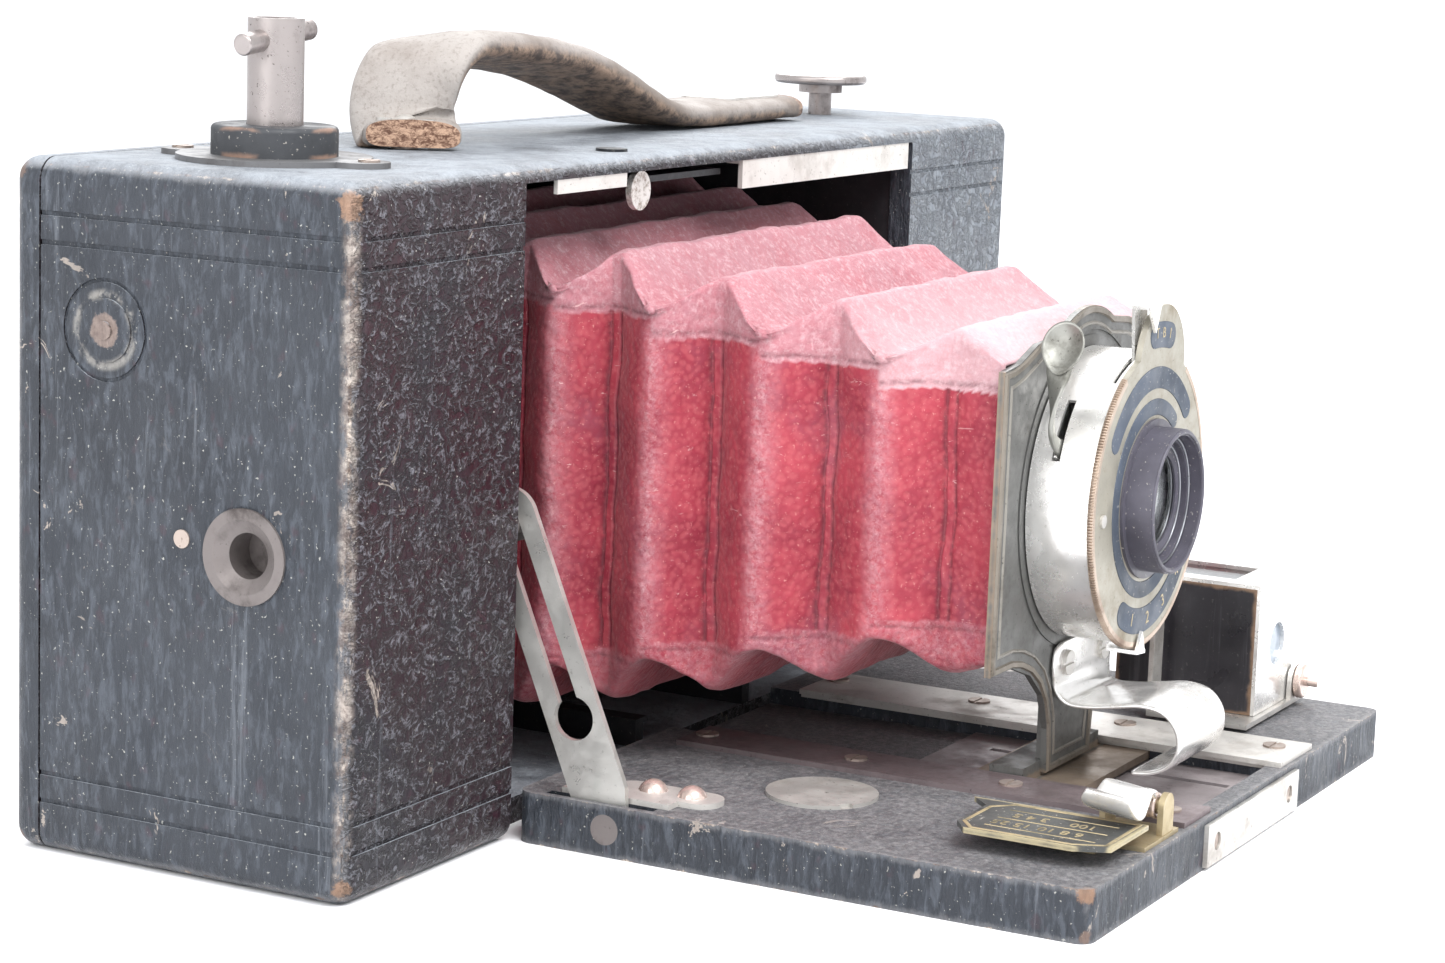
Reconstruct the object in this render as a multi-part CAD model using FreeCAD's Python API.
import FreeCAD, Part

# Horizontal folding roll-film bellows camera, opened for use.  Millimetres, +Z up.
# X is the long way of the case and the lens looks along -Y.  Everything is drawn with y = 0
# at the case front; write_parts then moves it back by half the case's depth, so the origin
# of the written parts is the centre of the case's bottom face.

import math
import os

from FreeCAD import Vector

# ---- overall sizes of the case ----
case_w = 267.0
case_h = 122.0
case_d = 71.0
edge_r = 4.0
parting_y = case_d - 6.8  # the back cover starts here
parting_gap = 0.4

# ---- case walls ----
end_wall = 6.0
front_wall = 5.0
top_wall = 3.2
bottom_wall = 5.0
back_wall = 2.6
partition_t = 2.6
gate_t = 2.0
cover_lip = 4.0
cover_lip_t = 1.6
cover_lip_gap = 0.3

# ---- opening, film gate and bellows ----
open_half = 80.3
open_top = case_h - 3.0
gate_back_y = parting_y - 6.2
image_w = 140.0
image_h = case_h - 39.0
image_z = case_h / 2 + 1.0  # height of the film gate's middle
lens_z = 62.0
bellows_rear_half = (70.0, case_h / 2 - 15.0)
bellows_front_half = (38.0, 28.0)
bellows_wall = 2.0
soft_gap = 0.3

# ---- fits ----
run_gap = 0.05            # radial clearance of a turning or sliding pin
lay_gap = 0.3             # clearance between a moving piece and its neighbour

# ---- film spools, winding key and knob ----
spool_x = 106.0
spool_y = case_d / 2
spool_len = case_h - 27.5
flange_r = 13.0
flange_t = 1.2
core_r = 6.0
spool_bore_r = 2.5
pivot_engage = 9.0
key_tube_r = 4.9
key_top_z = case_h + 24.5
key_pin_r = 1.9
key_pin_len = 20.0
key_pin_drop = 3.3        # height above the pin's axis of the tube's top
key_pin_tilt = 7.0
collar_r = key_tube_r + 6.1
collar_h = 5.2
key_plate_r = collar_r + 6.0
key_plate_ear = key_plate_r + 6.0
key_plate_t = 1.0
blade_w = 9.0
blade_t = 1.2
blade_gap = 0.2
key_reach = 7.0
knob_r = 10.4
knob_t = 2.0
knob_neck_r = 4.9
knob_neck_t = 2.0
knob_stem_r = 2.6
knob_stand = 5.0
knob_travel = 7.0
roller_x = 88.0
roller_y = gate_back_y - 3.0
roller_r = 2.4
journal_r = 1.0

# ---- carrying strap ----
strap_y = spool_y + 1.0
strap_w = 19.0
strap_t = 4.6
strap_ends = (-67.0, 81.0)
strap_rise = (-57.0, -52.0)
strap_fall = (-8.0, 34.0)
strap_lift = 0.4          # the strap's feet stand on washers this thick
strap_foot = case_h + strap_lift
strap_top = strap_foot + 14.1

# ---- bed ----
bed_half = 79.5
bed_len = 112.0
bed_t = 9.5
bed_gap = 0.6
bed_corner_r = 3.0
channel_half = 21.0
channel_floor = bed_t - 3.3
channel_front = 4.0
hinge_r = 1.9
hinge_half = 70.0
knuckles = 9
rail_t = 1.0
rail_inner = channel_half - 1.6
rail_outer_left = 33.0
rail_outer_right = 38.0
rail_rear_y = -8.0
rail_screw_ys = (-11.0, -42.8, -74.5, -105.5)
catch_plate_half = 25.0
bush_x = -50.0
bush_y = -47.6
bush_disc_r = 10.3
bush_body_r = 8.0
tripod_minor_r = 3.97     # 3/8-16 tripod thread, across the crests
bed_bush_depth = bed_t - 2.1

# ---- folding struts ----
strut_x = 76.4
strut_t = 1.2
strut_w = 11.5
strut_pivot = (-19.0, 5.0)
strut_slope = (0.39, 0.92)
strut_keyhole_s = 20.5
strut_slot_end = 60.0
strut_len = 64.0
strut_stud_s = 57.0
slot_half = 2.0
keyhole_r = 4.0
stud_r = 1.9
strut_plate_t = 1.0

# ---- standard, carriage and pull ----
standard_y = -75.0        # front face of the standard plate
standard_t = 1.2
standard_half = 39.5
shoulder_z = 88.5
plate_peak_z = 97.0
plate_low_z = 33.0
leg_half = 10.5
carriage_half = channel_half - 0.4
carriage_y = (-84.0, -62.0)
carriage_t = 1.5
pull_x = 3.0
pull_half = 12.5
pull_t = 1.0

# ---- shutter ----
drum_r = 27.5
drum_wall = 0.8
drum_back_t = 0.8
drum_front_y = -87.4
drum_back_y = -75.3
face_r = 27.9
face_t = 1.2
lobe_r = 16.0
lobe_top = 36.2
aperture_r = 7.0
light_r = 6.0
hood_r = 13.6
hood_bore_r = 12.4
hood_front_y = -94.2
lens_r = 9.4
rear_cell_r = 9.0
stop_pivot_r = 13.0       # stop-disc pivot below the lens axis
stop_holes = (3.6, 2.6, 1.8, 1.3)
stop_step = 30.0
post_r = 1.2
release_pivot = (-16.0, 70.0)
blade_pivot_x = 15.0
paddle_r = 7.6

# ---- finder ----
finder_x = (49.5, 71.4)
finder_y = (-94.1, -65.0)
finder_z = (bed_t + 1.9, bed_t + 27.7)
finder_wall = 0.8
cover_t = 0.8
finder_window_r = 4.4
finder_pin = (72.0, bed_t + 5.3)
finder_pin_r = 0.9
finder_lug_r = 3.3
bracket_t = 1.0

# ---- focusing scale and lock ----
scale_x = (-69.0, -48.5)
scale_y = (-110.0, -81.0)
scale_z = bed_t + 3.1
scale_t = 0.9
lock_axis = (-40.5, bed_t + 5.5)
lock_pin_r = 1.3
lock_sleeve_r = 2.3

floor_z = bottom_wall
ceiling_z = case_h - top_wall
inner_half = case_w / 2 - end_wall
partition_x = open_half + 0.3
gate_front_y = gate_back_y - gate_t
bed_front_y = -bed_len
spool_low = image_z - spool_len / 2
spool_high = image_z + spool_len / 2

parts = {}


# ---- small tools ----
def box(x0, x1, y0, y1, z0, z1):
    """A box between two corners."""
    size = (abs(x1 - x0), abs(y1 - y0), abs(z1 - z0))
    return Part.makeBox(*size, Vector(min(x0, x1), min(y0, y1), min(z0, z1)))


def rod(axis, centre, radius, start, stop):
    """A round bar along X, Y or Z; centre gives the other two coordinates in order."""
    low = min(start, stop)
    a, b = centre
    place = {"x": Vector(low, a, b), "y": Vector(a, low, b), "z": Vector(a, b, low)}[axis]
    way = {"x": Vector(1, 0, 0), "y": Vector(0, 1, 0), "z": Vector(0, 0, 1)}[axis]
    return Part.makeCylinder(radius, abs(stop - start), place, way)


def tube(axis, centre, outer, inner, start, stop):
    """A round bar with a bore right through."""
    return rod(axis, centre, outer, start, stop).cut(rod(axis, centre, inner, start - 1, stop + 1))


def fused(shapes):
    """One shape from several that touch."""
    result = shapes[0]
    if len(shapes) > 1:
        result = result.fuse(shapes[1:])
    return result.removeSplitter()


def group(shapes):
    """Separate solids of one node."""
    solids = []
    for shape in shapes:
        solids.extend(shape.Solids)
    return Part.makeCompound(solids)


def slab(points, axis, start, stop):
    """A flat outline, closed through its points, extruded along Y ('y': points are x, z) or X ('x': y, z)."""
    low = min(start, stop)
    if axis == "y":
        corners = [Vector(a, low, b) for a, b in points]
        way = Vector(0, abs(stop - start), 0)
    elif axis == "x":
        corners = [Vector(low, a, b) for a, b in points]
        way = Vector(abs(stop - start), 0, 0)
    else:
        corners = [Vector(a, b, low) for a, b in points]
        way = Vector(0, 0, abs(stop - start))
    wire = Part.makePolygon(corners + corners[:1])
    return Part.Face(wire).extrude(way)


def rounded_box(x0, x1, y0, y1, z0, z1, radius, axis):
    """A box whose four edges along one axis are rounded."""
    shape = box(x0, x1, y0, y1, z0, z1)
    way = {"x": Vector(1, 0, 0), "y": Vector(0, 1, 0), "z": Vector(0, 0, 1)}[axis]
    edges = [e for e in shape.Edges if abs(e.tangentAt(e.FirstParameter).dot(way)) > 0.99]
    return shape.makeFillet(radius, edges)


def arc_points(cx, cz, radius, start, stop, count):
    """Points on a circular arc, angles in degrees."""
    step = (stop - start) / (count - 1)
    angles = [math.radians(start + step * i) for i in range(count)]
    return [(cx + radius * math.cos(a), cz + radius * math.sin(a)) for a in angles]


def turned(shape, point, axis, degrees):
    """A copy turned about an axis."""
    copy = shape.copy()
    copy.rotate(Vector(*point), Vector(*axis), degrees)
    return copy


def mirrored_x(shape):
    """The same piece for the other side of the camera."""
    return shape.mirror(Vector(0, 0, 0), Vector(1, 0, 0))


def screw(x, y, z, radius, height):
    """A slotted screw head that stands on a surface at height z, with a short shank below."""
    head = rod("z", (x, y), radius, z, z + height)
    slot = box(x - radius, x + radius, y - 0.3, y + 0.3, z + height * 0.5, z + height + 1)
    return head.cut(slot)


def dome(x, y, z, radius, height):
    """A domed rivet head on a flat surface, the cap of a sphere."""
    ball_r = (radius * radius + height * height) / (2 * height)
    ball = Part.makeSphere(ball_r, Vector(x, y, z + height - ball_r))
    return ball.common(box(x - radius, x + radius, y - radius, y + radius, z, z + height + 1))


# ---- case, back cover and inner frame ----
def outer_block():
    """The whole outside of the closed case, with rounded edges."""
    block = box(-case_w / 2, case_w / 2, 0, case_d, 0, case_h)
    return block.makeFillet(edge_r, block.Edges)


def embossed_lines():
    """Shallow double lines pressed into the covering of the ends and the front."""
    lines = []
    depth = 0.35
    width = 0.9
    for inset in (9.4, 14.4):
        for z in (inset, case_h - inset):
            band = box(-case_w, case_w, -1, parting_y, z - width / 2, z + width / 2)
            core = box(-case_w / 2 + depth, case_w / 2 - depth, depth, case_d, -1, case_h + 1)
            lines.append(band.cut(core))
    return Part.makeCompound(lines)


def case_body():
    shell = outer_block().common(box(-case_w, case_w, -1, parting_y, -1, case_h + 1))
    cavity = box(-inner_half, inner_half, front_wall, case_d + 1, floor_z, ceiling_z)
    opening = box(-open_half, open_half, -1, front_wall + 1, -1, open_top)
    shell = shell.cut(cavity).cut(opening).cut(embossed_lines())
    holes = [
        rod("z", (-spool_x, spool_y), key_tube_r + run_gap, ceiling_z - 1, case_h + 1),
        rod("z", (spool_x, spool_y), knob_stem_r + run_gap, ceiling_z - 1, case_h + 1),
        rod("x", (bush_end[0], bush_end[1]), bush_body_r, -case_w / 2 - 1, -inner_half + 1),
        rod("z", (latch_x, latch_y), latch_button_r + run_gap, ceiling_z - 1, case_h + 1),
    ]
    for side in (-1, 1):
        holes.append(rod("z", (side * roller_x, roller_y), journal_r + run_gap, floor_z - 1.6, ceiling_z + 1.6))
        start = side * (inner_half - 1)
        stop = side * (case_w / 2 + 1)
        holes.append(rod("x", back_button, back_button_r + run_gap, start, stop))
    ring = tube("x", back_button, back_button_ring_r, back_button_ring_r - 0.7, -case_w, case_w)
    ring = ring.cut(box(-case_w / 2 + 0.35, case_w / 2 - 0.35, -case_d, 2 * case_d, -case_h, 2 * case_h))
    holes.append(ring)
    return shell.cut(holes)


def back_cover():
    start = parting_y + parting_gap
    cover = outer_block().common(box(-case_w, case_w, start, case_d + 1, -1, case_h + 1))
    hollow = box(-inner_half, inner_half, start - 1, case_d - back_wall, floor_z, ceiling_z)
    lip_half = inner_half - cover_lip_gap
    lip_low = floor_z + cover_lip_gap
    lip_high = ceiling_z - cover_lip_gap
    lip = box(-lip_half, lip_half, parting_y - cover_lip, case_d - back_wall, lip_low, lip_high)
    inside = box(-lip_half + cover_lip_t, lip_half - cover_lip_t, 0, case_d - back_wall,
                 lip_low + cover_lip_t, lip_high - cover_lip_t)
    window = rod("y", (0, image_z), window_r, 0, case_d + 1)
    return cover.cut(hollow).fuse(lip.cut(inside)).removeSplitter().cut(window)


def inner_frame():
    """Partitions beside the bellows and the film gate behind it."""
    outside = partition_x + partition_t
    pieces = []
    for side in (-1, 1):
        pieces.append(box(side * partition_x, side * outside, front_wall, gate_back_y, floor_z, ceiling_z))
    gate = box(-outside, outside, gate_front_y, gate_back_y, floor_z, ceiling_z)
    hole = box(-image_w / 2, image_w / 2, 0, case_d, image_z - image_h / 2, image_z + image_h / 2)
    frame = fused(pieces + [gate]).cut(hole)
    slides = []
    for side in (-1, 1):
        wall = box(side * channel_half, side * (channel_half + 3), front_wall + 1, gate_front_y, floor_z, bed_t + rail_t)
        lip = box(side * rail_inner, side * (channel_half + 3), front_wall + 1, gate_front_y, bed_t, bed_t + rail_t)
        slides.append(fused([wall, lip]))
    return fused([frame] + slides)


def ruby_window():
    return rod("y", (0, image_z), window_r, case_d - 2.0, case_d - 1.2)


# ---- hidden push buttons under the covering ----
back_button = (parting_y - 13.8, case_h - 28.4)
back_button_r = 5.5
back_button_ring_r = 8.9
back_button_travel = 1.2
latch_x = -35.0
latch_y = 9.0
latch_button_r = 3.0
latch_travel = 1.2
window_r = 5.0
bush_end = (21.0, 58.0)


def back_button_piece():
    """Push button of the left end; its stem ends clear of the chamber's inside."""
    outside = -case_w / 2 - 0.3
    pad = rod("x", back_button, back_button_r, outside, -inner_half)
    nose = rod("x", back_button, 1.6, outside - 0.4, outside + 0.1)
    return fused([pad, nose])


def bed_latch():
    """Button through the case top, joined to the sprung hook plate that holds the closed bed."""
    arm_top = open_top - 1.6
    button = rod("z", (latch_x, latch_y), latch_button_r, arm_top, case_h + 0.5)
    arm = box(latch_x - 4.5, latch_x + 34, latch_y - 5.2, latch_y + 3.5, arm_top - 1.2, arm_top)
    disc = rod("y", (latch_x, arm_top - 2.4), 3.7, latch_y - 6.6, latch_y - 5.4)
    neck = box(latch_x - 1.6, latch_x + 1.6, latch_y - 6.6, latch_y - 4.8, arm_top - 1.8, arm_top - 0.2)
    return fused([button, arm, disc, neck])


def latch_plates():
    """Nickel trim below the case's top front edge: a wide one to the right and a narrow one left."""
    right = box(2, 79, 0.4, 1.4, open_top - 5.6, open_top)
    right_flange = box(2, 79, 0.4, 4.0, open_top - 0.8, open_top)
    left = box(-69, -44, 0.4, 1.2, open_top - 2.6, open_top)
    return group([fused([right, right_flange]), left])


# ---- film path ----
def spool():
    x = 0
    core = rod("z", (x, 0), core_r, spool_low, spool_high)
    flanges = []
    for z in (spool_low, spool_high - flange_t):
        flanges.append(rod("z", (x, 0), flange_r, z, z + flange_t))
    body = fused([core] + flanges)
    body = body.cut(rod("z", (x, 0), spool_bore_r, spool_low - 1, spool_high + 1))
    slot_w = blade_w / 2 + blade_gap
    slot_t = blade_t / 2 + blade_gap
    return body.cut(box(-slot_w, slot_w, -slot_t, slot_t, spool_high - key_reach, spool_high + 1))


def placed_spool(x):
    shape = spool()
    shape.translate(Vector(x, spool_y, 0))
    return shape


def spool_pivots():
    pivots = []
    for side in (-1, 1):
        centre = (side * spool_x, spool_y)
        foot = rod("z", centre, core_r, floor_z, spool_low - lay_gap)
        stud = rod("z", centre, spool_bore_r - run_gap, floor_z, spool_low + pivot_engage)
        pivots.append(fused([foot, stud]))
    return group(pivots)


def winding_key():
    centre = (-spool_x, spool_y)
    shaft_r = spool_bore_r - run_gap
    blade_low = spool_high - key_reach + 1.0
    head = rod("z", centre, key_tube_r, ceiling_z - 1.0, key_top_z)
    flange = rod("z", centre, key_tube_r + 2.0, ceiling_z - 2.0, ceiling_z - lay_gap)
    shaft = rod("z", centre, shaft_r, blade_low, ceiling_z - 1.0)
    blade = box(-spool_x - blade_w / 2, -spool_x + blade_w / 2, spool_y - blade_t / 2, spool_y + blade_t / 2,
                blade_low, spool_high + lay_gap)
    socket = rod("z", centre, key_tube_r - 1.2, key_top_z - 1.2, key_top_z + 1)
    key = fused([head, flange, shaft, blade]).cut(socket)
    return key.cut(cross_pin())


def cross_pin():
    z = key_top_z - key_pin_drop
    pin = rod("x", (spool_y, z), key_pin_r, -spool_x - key_pin_len / 2, -spool_x + key_pin_len / 2)
    pin = pin.makeFillet(0.4, [e for e in pin.Edges if e.Closed])
    return turned(pin, (-spool_x, spool_y, z), (0, 1, 0), -key_pin_tilt)


def key_plate():
    centre = (-spool_x, spool_y)
    plate = rod("z", centre, key_plate_r, case_h, case_h + key_plate_t)
    ears = rounded_box(-spool_x - 5, -spool_x + 5, spool_y - key_plate_ear, spool_y + key_plate_ear,
                       case_h, case_h + key_plate_t, 4.9, "z")
    return fused([plate, ears]).cut(rod("z", centre, key_tube_r + run_gap, case_h - 1, case_h + 9))


def key_collar():
    base = case_h + key_plate_t
    collar = tube("z", (-spool_x, spool_y), collar_r, key_tube_r + run_gap, base, base + collar_h)
    rims = [e for e in collar.Edges if e.Closed and abs(e.CenterOfMass.z - base - collar_h) < 0.01 and e.Length > 60]
    return collar.makeFillet(0.9, rims)


def spool_knob():
    centre = (spool_x, spool_y)
    neck_z = case_h + knob_stand
    disc_z = neck_z + knob_neck_t
    stop_z = ceiling_z - knob_travel - 1.8
    disc = rod("z", centre, knob_r, disc_z, disc_z + knob_t)
    disc = disc.makeFillet(0.8, [e for e in disc.Edges if e.Closed])
    neck = rod("z", centre, knob_neck_r, neck_z, disc_z)
    stem = rod("z", centre, knob_stem_r, stop_z, neck_z)
    stop = rod("z", centre, knob_stem_r + 1.6, stop_z, stop_z + 1.5)
    pin = rod("z", centre, spool_bore_r - run_gap, spool_high - knob_travel + 0.5, stop_z)
    return fused([disc, neck, stem, stop, pin])


def roller(side):
    centre = (side * roller_x, roller_y)
    body = rod("z", centre, roller_r, floor_z + 2, ceiling_z - 2)
    return fused([body, rod("z", centre, journal_r, floor_z - 1.4, ceiling_z + 1.4)])


def end_tripod_bush():
    outside = -case_w / 2
    flange = rod("x", bush_end, bush_body_r + 0.3, outside - 0.5, outside)
    body = rod("x", bush_end, bush_body_r, outside, -inner_half + 2.0)
    bore = rod("x", bush_end, tripod_minor_r, outside - 1, -inner_half + 0.8)
    mouth = Part.makeCone(bush_body_r - 1.6, tripod_minor_r, 1.6, Vector(outside - 0.5, *bush_end), Vector(1, 0, 0))
    return fused([flange, body]).cut(bore).cut(mouth)


# ---- strap ----
def handle_strap():
    """The leather strap as one plain band of even thickness."""
    low = [
        (strap_ends[0], strap_foot), (strap_rise[0], strap_foot), (strap_rise[1], strap_top),
        (strap_fall[0], strap_top - 2.5), (strap_fall[1], strap_foot), (strap_ends[1], strap_foot),
    ]
    high = [
        (strap_ends[1], strap_foot + strap_t), (strap_fall[1] + 3, strap_foot + strap_t),
        (strap_fall[0] + 1, strap_top - 2.5 + strap_t), (strap_rise[1] - 4.5, strap_top + strap_t),
        (strap_rise[0] - 3, strap_foot + strap_t), (strap_ends[0], strap_foot + strap_t),
    ]
    return slab(low + high, "y", strap_y - strap_w / 2, strap_y + strap_w / 2)


def handle_plates():
    """Oval nickel plates on the strap's feet, each with two pin heads."""
    plates = []
    for x, half in ((strap_ends[0] + 3.4, 2.8), (strap_ends[1] - 17.0, 13.0)):
        top = strap_foot + strap_t
        plate = rounded_box(x - half, x + half, strap_y - 6, strap_y + 6, top, top + 0.6, 2.7, "z")
        plates.append(fused([plate, dome(x, strap_y, top + 0.6, 2.0, 0.7)]))
    return group(plates)


def strap_posts():
    """Short leather washers that hold the strap's feet just off the case top."""
    posts = []
    for x in (strap_ends[0] + 3.4, strap_ends[1] - 17.0):
        posts.append(rod("z", (x, strap_y), 2.5, case_h, strap_foot))
    return posts


# ---- bed ----
def strut_slot(side):
    x0 = side * (strut_x - 0.4)
    x1 = side * (strut_x + strut_t + 0.4)
    return box(x0, x1, strut_pivot[0] - 9, strut_pivot[0] + 13, strut_pivot[1] - 4.2, bed_t + 5)


def bed_board():
    board = rounded_box(-bed_half, bed_half, bed_front_y, -bed_gap, 0, bed_t, bed_corner_r, "z")
    channel = box(-channel_half, channel_half, bed_front_y + channel_front, 1, channel_floor, bed_t + 1)
    tools = [channel, rod("z", (bush_x, bush_y), bush_body_r, -1, bed_t + 1)]
    tools.append(rod("z", (bush_x, bush_y), bush_disc_r, bed_t - 0.2, bed_t + 1))
    tools.append(box(-hinge_half, hinge_half, -2 * hinge_r - 0.6, 1, -1, 2 * hinge_r + 0.5))
    tools.append(strut_plate(1))
    for side in (-1, 1):
        tools.append(strut_slot(side))
        tools.append(rod("x", strut_pivot, stud_r, side * (strut_x - 2.6), side * (bed_half + 1)))
        tools.append(rod("x", strut_pivot, stud_r + 0.9, side * (bed_half - 0.8), side * (bed_half + 1)))
    board = board.cut(tools)
    return board


def bed_hinge():
    """Knuckle hinge along the bottom front edge, its two leaves joined by one pin."""
    y = -hinge_r - 0.3
    z = hinge_r + 0.1
    pin = rod("x", (y, z), hinge_r * 0.45, -hinge_half + 1, hinge_half - 1)
    width = (2 * hinge_half - 2) / knuckles
    rolls = []
    for i in range(knuckles):
        start = -hinge_half + 1 + i * width
        roll = rod("x", (y, z), hinge_r, start + 0.15, start + width - 0.15)
        if i % 2:
            leaf = box(start + 0.15, start + width - 0.15, y, front_wall, z - hinge_r, z - hinge_r + 0.8)
        else:
            leaf = box(start + 0.15, start + width - 0.15, y - 1.2, y, z + hinge_r - 0.8, z + hinge_r)
        rolls.append(fused([roll, leaf]))
    return fused([pin] + rolls)


def rail(side, outer):
    """A flat nickel rail beside the channel, overhanging it by a lip."""
    strip = box(side * rail_inner, side * outer, bed_front_y + 1, rail_rear_y, bed_t, bed_t + rail_t)
    lip = box(side * channel_half, side * (channel_half - 0.7), bed_front_y + channel_front, rail_rear_y,
              bed_t - 0.8, bed_t)
    return fused([strip, lip])


def track_plate():
    """Grey scale plate on the channel floor, with a narrow black slot along it."""
    plate = box(-channel_half, channel_half, bed_front_y + channel_front, -47, channel_floor, channel_floor + 0.6)
    return plate.cut(box(9, 11, bed_front_y + 8, -55, channel_floor, channel_floor + 2))


def bed_catch_plate():
    front = bed_front_y
    plate = box(-catch_plate_half, catch_plate_half, front - 0.9, front, 0.6, bed_t - 1.1)
    plate = plate.cut([rod("y", (x, 4.6), 1.7, front - 2, front + 1) for x in (-20.0, 20.0)])
    return plate


def catch_screws():
    return [rod("y", (x, 4.6), 1.5, bed_front_y - 0.5, bed_front_y) for x in (-20.0, 20.0)]


def bed_tripod_bush():
    centre = (bush_x, bush_y)
    disc = rod("z", centre, bush_disc_r, bed_t - 0.2, bed_t + 0.7)
    body = rod("z", centre, bush_body_r, 0.2, bed_t)
    bush = fused([disc, body]).cut(rod("z", centre, tripod_minor_r, -1, bed_bush_depth))
    notch = box(bush_x - 1.2, bush_x + 1.2, bush_y - bush_disc_r - 1, bush_y - bush_disc_r + 1.3, bed_t, bed_t + 2)
    return bush.cut(turned(notch, (bush_x, bush_y, 0), (0, 0, 1), -38))


def wood_screws():
    """Identical slotted screws: rails, the key's plate and the case end."""
    screws = []
    for y in rail_screw_ys:
        screws.append(screw(-26.0, y, bed_t + rail_t, 2.2, 0.4))
        screws.append(screw(31.5, y, bed_t + rail_t, 2.2, 0.4))
    for side in (-1, 1):
        y = spool_y + side * (key_plate_ear - 3.4)
        screws.append(screw(-spool_x, y, case_h + key_plate_t, 1.9, 0.4))
    screws.append(rod("x", (33.9, 59.6), 1.6, -case_w / 2 - 0.3, -case_w / 2))
    return group(screws + catch_screws() + strap_posts())


# ---- struts ----
def strut_place(shape, side):
    """Moves a strut drawn upright at the pivot to its sloped place on one side."""
    angle = math.degrees(math.atan2(strut_slope[0], strut_slope[1]))
    moved = turned(shape, (0, *strut_pivot), (1, 0, 0), -angle)
    if side > 0:
        return moved
    return mirrored_x(moved)


def strut(side):
    y, z = strut_pivot
    x0 = strut_x
    x1 = strut_x + strut_t
    half = strut_w / 2
    blade = box(x0, x1, y - half, y + half, z, z + strut_len - half)
    ends = [rod("x", (y, z), 3.6, x0, x1), rod("x", (y, z + strut_len - half), half, x0, x1)]
    foot = slab([(y - 3.6, z), (y + 3.6, z), (y + half, z + 6), (y - half, z + 6)], "x", x0, x1)
    body = fused([blade.cut(box(x0 - 1, x1 + 1, y - 9, y + 9, z - 1, z + 6)), foot] + ends)
    body = body.cut(box(x0 - 1, x1 + 1, y - slot_half, y + slot_half, z + strut_keyhole_s, z + strut_slot_end))
    body = body.cut(rod("x", (y, z + strut_slot_end), slot_half, x0 - 1, x1 + 1))
    body = body.cut(rod("x", (y, z + strut_keyhole_s), keyhole_r, x0 - 1, x1 + 1))
    body = body.cut(rod("x", (y, z), stud_r + run_gap, x0 - 1, x1 + 1))
    return strut_place(body, side)


def strut_pins():
    """Pivot screws in the bed's sides and headed studs in the case's opening."""
    pins = []
    reach = math.hypot(*strut_slope)
    stud = (strut_pivot[0] + strut_stud_s * strut_slope[0] / reach,
            strut_pivot[1] + strut_stud_s * strut_slope[1] / reach)
    for side in (-1, 1):
        bolt = rod("x", strut_pivot, stud_r, side * (strut_x - 2.6), side * (bed_half - 0.8))
        head = rod("x", strut_pivot, stud_r + 0.9, side * (bed_half - 0.8), side * bed_half)
        pins.append(fused([bolt, head]))
        shank = rod("x", stud, slot_half - run_gap, side * (strut_x - 0.6), side * open_half)
        cap = rod("x", stud, 3.2, side * (strut_x - 1.8), side * (strut_x - 0.4))
        pins.append(fused([shank, cap]))
    return group(pins)


def strut_plate(side):
    """The left plate lies on the bed; the right one is let in flush, so that the finder passes over it."""
    z = bed_t if side < 0 else bed_t - strut_plate_t
    plate = rounded_box(side * 64.0, side * 72.6, -36.5, -14.5, z, z + strut_plate_t, 4.0, "z")
    edge = box(side * 70, side * (strut_x - 0.6), -30, -8, z, z + strut_plate_t)
    return fused([plate, edge])


def strut_plates():
    return group([strut_plate(side) for side in (-1, 1)])


def strut_rivets():
    rivets = []
    for y in (-22.5, -30.5):
        rivets.append(dome(-68.0, y, bed_t + strut_plate_t, 2.7, 2.0))
        rivets.append(dome(68.0, y, bed_t, 2.7, 0.3))
    return group(rivets)


# ---- focusing scale and its lock ----
def focus_bracket():
    """Base plate with two ears that carry the lock's hinge pin; the scale stands on its left edge."""
    base_top = bed_t + 0.8
    base = box(-52, -35.5, bed_front_y + 1.2, -96.5, bed_t, base_top)
    x, z = lock_axis
    ears = []
    for y in (bed_front_y + 1.4, -99.8):
        ear = box(x - 2.6, x + 2.6, y, y + 1.1, bed_t, z)
        ears.append(fused([ear, rod("y", (x, z), 2.6, y, y + 1.1)]))
    pin = rod("y", lock_axis, lock_pin_r, bed_front_y + 1.4, -98.0)
    tab = box(-58, -51, -104, -98, bed_t, base_top)
    post = box(-58, -55, -104, -98, bed_t, scale_z)
    return fused([base, tab, post, pin] + ears)


def focus_scale():
    """Raised plate with the distance scale, its front-right corner bent down to the bed."""
    x0, x1 = scale_x
    y0, y1 = scale_y
    plate = slab([(x0, y0 + 6), (x0 + 3, y0), (x1, y0), (x1, y1 + 4), (x1 - 4, y1), (x0 + 4, y1), (x0, y1 - 3)],
                 "z", scale_z, scale_z + scale_t)
    return plate


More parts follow.
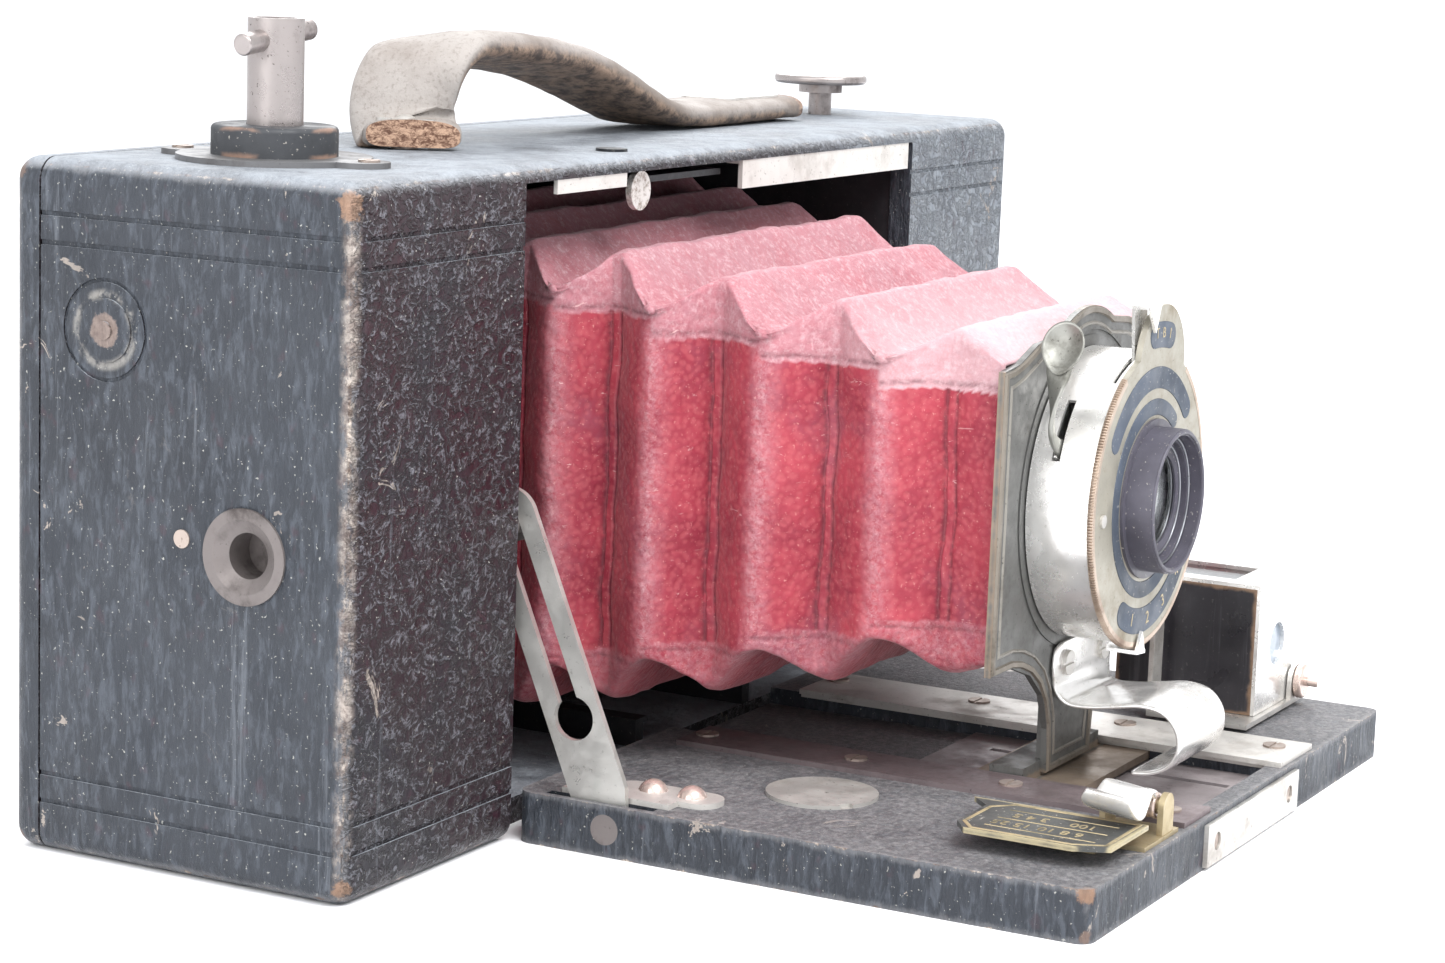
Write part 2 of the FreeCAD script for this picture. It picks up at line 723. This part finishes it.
def lock_lever():
    """Sprung lever on the hinge pin: thumb curl over the scale, claw over the rail."""
    x, z = lock_axis
    y0 = -108.9
    y1 = -100.2
    sleeve = tube("y", lock_axis, lock_sleeve_r, lock_pin_r + run_gap, y0, y1)
    thumb_path = [(x - 1.6, z + 1.4), (x - 7, z + 1.0), (x - 11, z - 0.4), (x - 15.5, z + 3.0),
                  (x - 15.0, z + 3.9), (x - 11, z + 0.7), (x - 7, z + 2.1), (x - 1.0, z + 2.3)]
    thumb = slab(thumb_path, "y", y0 + 0.2, y1 - 0.2)
    claw_path = [(x + 1.0, z + 1.4), (x + 8.0, z - 2.2), (x + 14.5, z - 2.8), (x + 14.5, z - 2.0),
                 (x + 8.2, z - 1.2), (x + 1.0, z + 2.3)]
    claw = slab(claw_path, "y", y0 + 1.5, y1 - 2.2)
    shape = fused([sleeve, thumb, claw])
    return shape.cut(rod("y", lock_axis, lock_pin_r + run_gap, y0 - 1, y1 + 3))


# ---- standard ----
def standard_outline():
    """Shield outline of the standard plate: ogee top, square shoulders and a waisted leg."""
    hw = standard_half
    left = [
        (-leg_half, channel_floor + 3.2), (-leg_half - 0.5, 18.0), (-leg_half - 3.5, 25.0), (-leg_half - 10, 30.0),
        (-leg_half - 19, plate_low_z), (-hw, plate_low_z), (-hw, shoulder_z), (-hw + 7, shoulder_z + 0.8),
        (-hw + 15, shoulder_z + 3.6),
    ]
    crown = arc_points(0, plate_peak_z - 26, 26, 124, 56, 13)
    right = [(-x, z) for x, z in reversed(left)]
    return left + crown + right


def standard_plate():
    plate = slab(standard_outline(), "y", standard_y, standard_y + standard_t)
    recess_r = drum_r + 2.0
    return plate.cut(rod("y", (0, lens_z), rear_cell_r + 1.4, standard_y - 1, standard_y + 3)).cut(
        tube("y", (0, lens_z), recess_r + 1.0, recess_r, standard_y - 1, standard_y + 0.3))


def standard_foot():
    """Carriage that slides in the bed's channel under the rails' lips, with an upright tab for the plate."""
    base_z = channel_floor + 1.0
    base = box(-carriage_half, carriage_half, *carriage_y, base_z, base_z + carriage_t)
    tab = box(-leg_half + 1, leg_half - 1, standard_y + standard_t, standard_y + standard_t + 1.4,
              base_z, 24.0)
    toe = box(-18.8, 18.8, standard_y + standard_t, standard_y + 8, base_z, bed_t + rail_t + 1.2)
    return fused([base, tab, toe])


def standard_pull():
    """Broad nickel strip bent in an S, screwed to the plate's leg and used to draw the standard out."""
    x0 = pull_x - pull_half
    x1 = pull_x + pull_half
    front = standard_y
    flange = rounded_box(x0 - 1.5, x1 + 2.5, front - pull_t, front, 24.0, 34.2, 3.5, "y")
    mid = [
        (front - 0.5, 26.0), (front - 1.2, 23.4), (front - 3.6, 22.6), (front - 12.0, 23.4),
        (front - 19.0, 24.6), (front - 23.5, 23.4), (front - 25.6, 19.8), (front - 24.6, 15.6),
        (front - 20.5, 12.4), (front - 16.4, 11.6),
    ]
    half = pull_t / 2
    upper = []
    lower = []
    for i, (y, z) in enumerate(mid):
        a = mid[max(i - 1, 0)]
        b = mid[min(i + 1, len(mid) - 1)]
        length = math.hypot(b[0] - a[0], b[1] - a[1])
        normal = ((b[1] - a[1]) / length, -(b[0] - a[0]) / length)
        upper.append((y + normal[0] * half, z + normal[1] * half))
        lower.append((y - normal[0] * half, z - normal[1] * half))
    curl = slab(upper + lower[::-1], "x", x0, x1)
    return fused([flange, curl])


def standard_screws():
    """Screws of the pull, the two bosses on the shutter's face, and the finder bracket's rivets."""
    heads = []
    for x in (pull_x - 8.5, pull_x + 9.5):
        y = standard_y - pull_t
        head = rod("y", (x, 30.0), 2.4, y - 0.9, y)
        heads.append(head.cut(box(x - 3, x + 3, y - 2, y - 0.5, 29.7, 30.3)))
    face = drum_front_y - face_t
    for x in (-23.6, 23.6):
        heads.append(rod("y", (x, lens_z - 1), 1.2, face - 0.5, face))
    for z in (37.0, 42.0):
        y = standard_y - bracket_t
        heads.append(rod("y", (35.6, z), 1.5, y - 0.6, y))
    return group(heads)


# ---- shutter ----
def ring_sector(radius_out, radius_in, start, stop, y0, y1):
    """Part of a flat ring about the lens axis, angles from +X towards +Z."""
    outer = arc_points(0, lens_z, radius_out, start, stop, 15)
    inner = arc_points(0, lens_z, radius_in, stop, start, 15)
    return slab(outer + inner, "y", y0, y1)


speed_ring_y = (-86.6, -86.0)
stop_disc_y = (-85.2, -84.8)
stop_ring_y = (-84.0, -83.4)
blade_y = (-81.8, -81.4)
release_y = (-80.4, -79.4)
speed_rest = 97.0
speed_throw = 18.0
stop_rest = -95.0
stop_throw = 42.0


def shutter_case():
    shell = rod("y", (0, lens_z), drum_r, drum_back_y, drum_front_y)
    bore = rod("y", (0, lens_z), drum_r - drum_wall, drum_back_y - drum_back_t, drum_front_y - 1)
    light = rod("y", (0, lens_z), aperture_r, drum_back_y + 1, drum_front_y)
    shell = shell.cut([bore, light])
    outer = drum_r + 1
    inner = drum_r - drum_wall - 1
    margin = 8.0
    slots = [
        ring_sector(outer, inner, stop_rest - margin, stop_rest + stop_throw + margin,
                    stop_ring_y[0] - 0.3, stop_ring_y[1] + 0.3),
        ring_sector(outer, inner, speed_rest - speed_throw - margin, speed_rest + speed_throw + margin,
                    speed_ring_y[0] - 0.3, speed_ring_y[1] + 0.3),
        ring_sector(outer, inner, 134, 160, release_y[0] - 0.3, release_y[1] + 0.3),
    ]
    shell = shell.cut(slots)
    inside = drum_back_y - drum_back_t
    posts = [
        rod("y", release_pivot, post_r, release_y[0] - 0.4, inside),
        rod("y", (blade_pivot_x, lens_z), post_r, blade_y[0] - 0.4, inside),
    ]
    return fused([shell] + posts)


def face_outline_disc():
    """Round face plate with the lobe for the speed scale at its top."""
    disc = rod("y", (0, lens_z), face_r, drum_front_y - face_t, drum_front_y)
    lobe = rod("y", (3.0, lens_z + lobe_top - 11.5), 11.5, drum_front_y - face_t, drum_front_y)
    return fused([disc, lobe])


def face_plate():
    plate = face_outline_disc()
    teeth = []
    count = 120
    for i in range(count):
        angle = 2 * math.pi * i / count
        x = (face_r + 0.05) * math.cos(angle)
        z = lens_z + (face_r + 0.05) * math.sin(angle)
        if z < lens_z + 22:
            teeth.append(rod("y", (x, z), 0.3, drum_front_y - 0.8, drum_front_y))
    plate = plate.cut(teeth)
    plate = plate.cut(rod("y", (0, lens_z), lens_r, drum_front_y - 3, drum_front_y + 1))
    post = rod("y", (0, lens_z - stop_pivot_r), post_r, drum_front_y, stop_disc_y[1] + 0.4)
    return fused([plate, post])


def drum_ring(y0, y1):
    """A flat ring that turns inside the drum, guided by its bore."""
    outer = drum_r - drum_wall - run_gap
    return tube("y", (0, lens_z), outer, outer - 2.4, y0, y1)


def pointer(angle, reach, ring_y, half_width, hook_drop):
    """Arm from a drum ring out through the drum's slot and forward, hooked over the face plate."""
    y0, y1 = ring_y
    inner = drum_r - drum_wall - 2.0
    front = drum_front_y - face_t - 1.0
    arm = box(inner, reach + 0.7, y0, y1, lens_z - half_width, lens_z + half_width)
    strip = box(reach, reach + 0.7, front, y1, lens_z - half_width, lens_z + half_width)
    tip = [(reach + 0.7, lens_z + half_width), (reach - hook_drop, lens_z), (reach + 0.7, lens_z - half_width)]
    hook = slab(tip, "y", front, front + 0.6)
    return turned(fused([arm, strip, hook]), (0, 0, lens_z), (0, 1, 0), -angle)


def speed_lever():
    ring = drum_ring(*speed_ring_y)
    return fused([ring, pointer(speed_rest, lobe_top + 0.5, speed_ring_y, 3.2, 5.0)])


def stop_lever():
    ring = drum_ring(*stop_ring_y)
    return fused([ring, pointer(stop_rest, face_r + 0.6, stop_ring_y, 2.2, 3.6)])


def stop_disc():
    """Sector with four round stops, the largest on the lens axis at rest."""
    pivot_z = lens_z - stop_pivot_r
    y0, y1 = stop_disc_y
    rim = stop_pivot_r + stop_holes[0] + 1.4
    span = stop_step * (len(stop_holes) - 1)
    points = [(0, pivot_z)] + arc_points(0, pivot_z, rim, 90 - 17, 90 + span + 17, 21)
    sector = slab(points, "y", y0, y1)
    hub = rod("y", (0, pivot_z), 3.2, y0, y1)
    body = fused([sector, hub]).cut(rod("y", (0, pivot_z), post_r + run_gap, y0 - 1, y1 + 1))
    for i, radius in enumerate(stop_holes):
        angle = math.radians(90 + i * stop_step)
        centre = (stop_pivot_r * math.cos(angle), pivot_z + stop_pivot_r * math.sin(angle))
        body = body.cut(rod("y", centre, radius, y0 - 1, y1 + 1))
    return body


def release_lever():
    px, pz = release_pivot
    y0, y1 = release_y
    hub = rod("y", release_pivot, 2.6, y0, y1)
    arm = slab([(px - 1, pz - 1.6), (-28.6, 73.6), (-30.2, 76.4), (-28.0, 78.6), (px + 0.5, pz + 2.2)], "y", y0, y1)
    stem = slab([(-30.2, 76.0), (-28.8, 75.6), (-25.2, 89.4), (-26.6, 90.0)], "y", y0, y1)
    leaf_points = [(-83.6, 0), (-82.6, 3.2), (-79.9, 5.6), (-77.2, 3.2), (-76.4, 0), (-78.4, -4.6), (-81.4, -4.6)]
    leaf = slab([(y, 92.0 + z) for y, z in leaf_points], "x", -26.6, -25.7)
    leaf = turned(leaf, (-26.0, -80, 90.0), (0, 1, 0), 24)
    shape = fused([hub, arm, stem, leaf])
    return shape.cut(rod("y", release_pivot, post_r + run_gap, y0 - 1, y1 + 1))


def shutter_blade():
    y0, y1 = blade_y
    paddle = rod("y", (0, lens_z), paddle_r, y0, y1)
    arm = box(0, blade_pivot_x, y0, y1, lens_z - 1.8, lens_z + 1.8)
    hub = rod("y", (blade_pivot_x, lens_z), 2.6, y0, y1)
    return fused([paddle, arm, hub]).cut(rod("y", (blade_pivot_x, lens_z), post_r + run_gap, y0 - 1, y1 + 1))


def lens_hood():
    """Black hood with stepped rings inside, seated on the face plate."""
    axis = (0, lens_z)
    back = drum_front_y - face_t
    hood = rod("y", axis, hood_r, hood_front_y, back)
    hood = hood.cut(rod("y", axis, hood_bore_r, hood_front_y - 1, hood_front_y + 2.4))
    hood = hood.cut(rod("y", axis, hood_bore_r - 1.2, hood_front_y, hood_front_y + 3.6))
    hood = hood.cut(rod("y", axis, lens_r - 1.0, hood_front_y, back + 1))
    seat = rod("y", axis, lens_r, back - 1.6, back + 1)
    flange = tube("y", axis, hood_r + 1.4, hood_r - 1, back - 0.6, back)
    return fused([hood.cut(seat), flange])


def lens(y_front, y_back, radius, bulge):
    """A disc of glass with one domed face towards the front."""
    axis_z = lens_z
    edge = y_back - y_front - bulge
    disc = rod("y", (0, axis_z), radius, y_back - edge, y_back)
    ball_r = (radius * radius + bulge * bulge) / (2 * bulge)
    ball = Part.makeSphere(ball_r, Vector(0, y_front + ball_r, axis_z))
    cap = ball.common(rod("y", (0, axis_z), radius, y_front - 0.1, y_back - edge + 0.2))
    return fused([disc, cap])


def front_lens():
    back = drum_front_y - face_t
    return lens(back - 1.6, back + 1.0, lens_r - 0.02, 1.0)


def rear_lens():
    """Rear glass in its brass cell behind the drum, inside the bellows' front frame."""
    return tube("y", (0, lens_z), rear_cell_r, rear_cell_r - 1.0, drum_back_y, drum_back_y + 5.0).fuse(
        rod("y", (0, lens_z), rear_cell_r - 1.0, drum_back_y + 1.0, drum_back_y + 3.4)).removeSplitter()


# ---- finder ----
def finder_body():
    x0, x1 = finder_x
    y0, y1 = finder_y
    z0, z1 = finder_z
    shell = box(x0, x1, y0, y1, z0, z1)
    w = finder_wall
    hollow = box(x0 + w, x1 - w, y0 - 1, y1 - w, z0 + w, z1 + 1)
    return shell.cut(hollow)


def finder_cover():
    """Nickel cover bent over the front and top, with the round window and the hinge lug."""
    x0, x1 = finder_x
    y0, y1 = finder_y
    z0, z1 = finder_z
    mid_x = (x0 + x1) / 2
    front = box(x0, x1, y0 - cover_t, y0, z0, z1 + cover_t)
    top = box(x0, x1, y0 - cover_t, y1, z1, z1 + cover_t)
    lug = rod("y", finder_pin, finder_lug_r, y0 - cover_t, y0)
    shape = fused([front, top, lug])
    edges = [e for e in shape.Edges if abs(e.CenterOfMass.y - y0 + cover_t) < 0.01
             and abs(e.CenterOfMass.z - z1 - cover_t) < 0.01]
    shape = shape.makeFillet(cover_t * 0.9, edges)
    window = rod("y", (mid_x + 1, (z0 + z1) / 2), finder_window_r, y0 - 3, y0 + 1)
    glass_hole = box(x0 + 4, x1 - 4, y0 + 6, y1 - 4, z1 - 1, z1 + 3)
    pin_hole = rod("y", finder_pin, finder_pin_r + run_gap, y0 - 3, y0 + 1)
    return shape.cut([window, glass_hole, pin_hole])


def finder_lens():
    x0, x1 = finder_x
    z0, z1 = finder_z
    centre = ((x0 + x1) / 2 + 1, (z0 + z1) / 2)
    return rod("y", centre, finder_window_r + 1.0, finder_y[0], finder_y[0] + 1.4)


def finder_mirror():
    x0 = finder_x[0] + finder_wall
    x1 = finder_x[1] - finder_wall
    y1 = finder_y[1] - finder_wall
    z0 = finder_z[0] + finder_wall
    high = y1 - (finder_y[0] + 4)
    rise = min(high, finder_z[1] - z0 - 2)
    return slab([(y1 - rise, z0), (y1 - rise + 1.4, z0), (y1, z0 + rise - 1.4), (y1, z0 + rise)], "x", x0, x1)


def finder_glass():
    w = finder_wall
    return box(finder_x[0] + w, finder_x[1] - w, finder_y[0] + 3, finder_y[1] - w, finder_z[1] - 1.2, finder_z[1])


def finder_bracket():
    """One bent strip: riveted to the standard plate, under the finder, and up to the hinge pin in front."""
    y_plate = standard_y - bracket_t
    low = bed_t + rail_t - 0.2
    front = finder_y[0] - cover_t - lay_gap - bracket_t
    hanger = slab([(32.6, 34.5), (32.6, 45.0), (39.0, 45.0), (46.5, 38.0), (46.5, low), (41.5, low), (41.5, 34.5)],
                  "y", y_plate, standard_y)
    sole = box(41.5, finder_pin[0] + 3.4, front, standard_y, low, low + bracket_t)
    lug = slab([(finder_pin[0] - 3.4, low), (finder_pin[0] + 3.4, low), (finder_pin[0] + 3.4, finder_pin[1]),
                (finder_pin[0] - 3.4, finder_pin[1])], "y", front, front + bracket_t)
    eye = rod("y", finder_pin, 3.4, front, front + bracket_t)
    hole = rod("y", finder_pin, finder_pin_r + run_gap, front - 1, front + 3)
    return fused([hanger, sole, lug, eye]).cut(hole)


def finder_pin_piece():
    """Hinge pin with its round boss in front; it turns with the finder."""
    face = finder_y[0] - cover_t - lay_gap - bracket_t
    pin = rod("y", finder_pin, finder_pin_r, face - 4.6, finder_y[0] - 0.01)
    boss = rod("y", finder_pin, 3.5, face - 1.8, face - 0.1)
    boss = boss.makeFillet(0.5, [e for e in boss.Edges if e.Closed])
    return fused([pin, boss])


# ---- bellows ----
def bellows_box(y0, half0, y1, half1):
    """A tapered rectangular tube body from the lens axis to the middle of the film gate."""
    sections = []
    for y, (hx, hz), middle in ((y0, half0, lens_z), (y1, half1, image_z)):
        corners = [Vector(-hx, y, middle - hz), Vector(hx, y, middle - hz),
                   Vector(hx, y, middle + hz), Vector(-hx, y, middle + hz)]
        sections.append(Part.makePolygon(corners + corners[:1]))
    return Part.makeLoft(sections, True, True)


def bellows():
    front = standard_y + standard_t
    rear = gate_front_y
    w = bellows_wall
    inner_front = tuple(v - w for v in bellows_front_half)
    inner_rear = tuple(v - w for v in bellows_rear_half)
    skin = bellows_box(front, bellows_front_half, rear, bellows_rear_half)
    space = bellows_box(front, inner_front, rear, inner_rear)
    foot_space = box(-leg_half, leg_half, front, front + 9, 0, 34.4)
    return skin.cut(space).cut(foot_space)


def write_parts():
    builders = {
        "case_body": case_body, "back_cover": back_cover, "inner_frame": inner_frame,
        "ruby_window": ruby_window, "bed_latch": bed_latch, "latch_plates": latch_plates,
        "back_button_left": back_button_piece, "back_button_right": lambda: mirrored_x(back_button_piece()),
        "roller_left": lambda: roller(-1), "roller_right": lambda: roller(1),
        "takeup_spool": lambda: placed_spool(-spool_x), "supply_spool": lambda: placed_spool(spool_x),
        "spool_pivots": spool_pivots, "winding_key": winding_key, "key_cross_pin": cross_pin,
        "key_collar": key_collar, "key_plate": key_plate, "spool_knob": spool_knob,
        "end_tripod_bush": end_tripod_bush, "bed_tripod_bush": bed_tripod_bush,
        "handle_strap": handle_strap, "handle_plates": handle_plates, "wood_screws": wood_screws,
        "bed_board": bed_board, "bed_hinge": bed_hinge, "rail_left": lambda: rail(-1, rail_outer_left),
        "rail_right": lambda: rail(1, rail_outer_right), "track_plate": track_plate,
        "bed_catch_plate": bed_catch_plate, "strut_left": lambda: strut(-1), "strut_right": lambda: strut(1),
        "strut_pins": strut_pins, "strut_plates": strut_plates, "strut_rivets": strut_rivets,
        "focus_bracket": focus_bracket, "focus_scale": focus_scale, "lock_lever": lock_lever,
        "standard_plate": standard_plate, "standard_foot": standard_foot, "standard_pull": standard_pull,
        "standard_screws": standard_screws, "shutter_case": shutter_case, "face_plate": face_plate,
        "speed_lever": speed_lever, "stop_lever": stop_lever, "stop_disc": stop_disc,
        "release_lever": release_lever, "shutter_blade": shutter_blade, "lens_hood": lens_hood,
        "front_lens": front_lens, "rear_lens": rear_lens, "finder_body": finder_body,
        "finder_cover": finder_cover, "finder_lens": finder_lens, "finder_mirror": finder_mirror,
        "finder_glass": finder_glass, "finder_bracket": finder_bracket, "finder_pin": finder_pin_piece,
        "bellows": bellows,
    }
    os.makedirs("parts", exist_ok=True)
    for name, builder in builders.items():
        shape = builder()
        if not shape.isValid() or shape.Volume <= 0:
            print("bad shape:", name)
        shape.translate(Vector(0, -case_d / 2, 0))
        shape.exportStep("parts/" + name + ".step")
        print(name, len(shape.Solids), round(shape.Volume, 1))


write_parts()
